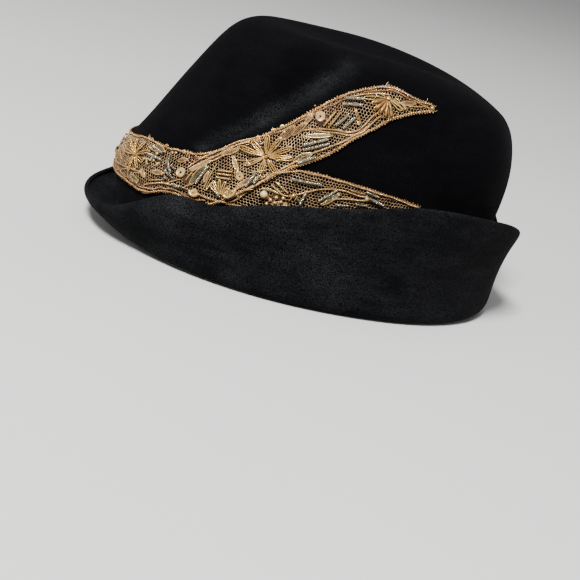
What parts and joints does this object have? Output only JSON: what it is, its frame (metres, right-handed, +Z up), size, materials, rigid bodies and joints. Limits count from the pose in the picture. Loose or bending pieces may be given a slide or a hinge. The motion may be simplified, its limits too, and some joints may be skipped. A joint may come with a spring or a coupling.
{
  "type": "cocktail hat",
  "caption": "Black velour felt hat with a slanting crown pinch, a brim turned up all round and a gilt net trim that parts into tails, with cord flowers, purls and sequins.",
  "frame": {"origin": "middle of the hat's length and width, on the surface that the brim's fold rests on", "axes": "+Z up, -X towards the front of the hat, -Y towards the wearer's left, where the trim is"},
  "size_m": [0.2352, 0.1844, 0.1241],
  "materials": {
    "black_felt": "velour pile",
    "gilt_net": "open net of metal-wrapped thread",
    "gilt_cord": "gilt thread and bullion",
    "silver_purl": "silvered wire coil",
    "gilt_sequin": "polished",
    "pearl_coat": "pearl lustre"
  },
  "bodies": {
    "root": {"felt_body": "black_felt", "upper_net_strip": "gilt_net", "lower_net_strip": "gilt_net", "silver_purl_01": "silver_purl", "silver_purl_02": "silver_purl", "silver_purl_03": "silver_purl", "silver_purl_04": "silver_purl", "silver_purl_05": "silver_purl", "silver_purl_06": "silver_purl", "silver_purl_07": "silver_purl", "silver_purl_08": "silver_purl", "silver_purl_09": "silver_purl", "silver_purl_10": "silver_purl", "silver_purl_11": "silver_purl", "silver_purl_12": "silver_purl", "silver_purl_13": "silver_purl", "silver_purl_14": "silver_purl", "silver_purl_15": "silver_purl", "silver_purl_16": "silver_purl", "silver_purl_17": "silver_purl", "gilt_bar_01": "gilt_cord", "gilt_bar_02": "gilt_cord", "gilt_bar_03": "gilt_cord", "gilt_bar_04": "gilt_cord", "gilt_bar_05": "gilt_cord", "gilt_bar_06": "gilt_cord", "gilt_bar_07": "gilt_cord", "gilt_bar_08": "gilt_cord", "sequin_01": "gilt_sequin", "sequin_02": "gilt_sequin", "sequin_03": "gilt_sequin", "sequin_04": "gilt_sequin", "sequin_05": "gilt_sequin", "flower_front": "gilt_cord", "flower_middle": "gilt_cord", "flower_tip": "gilt_cord", "pearl_bead": "pearl_coat"}
  },
  "joints": []
}
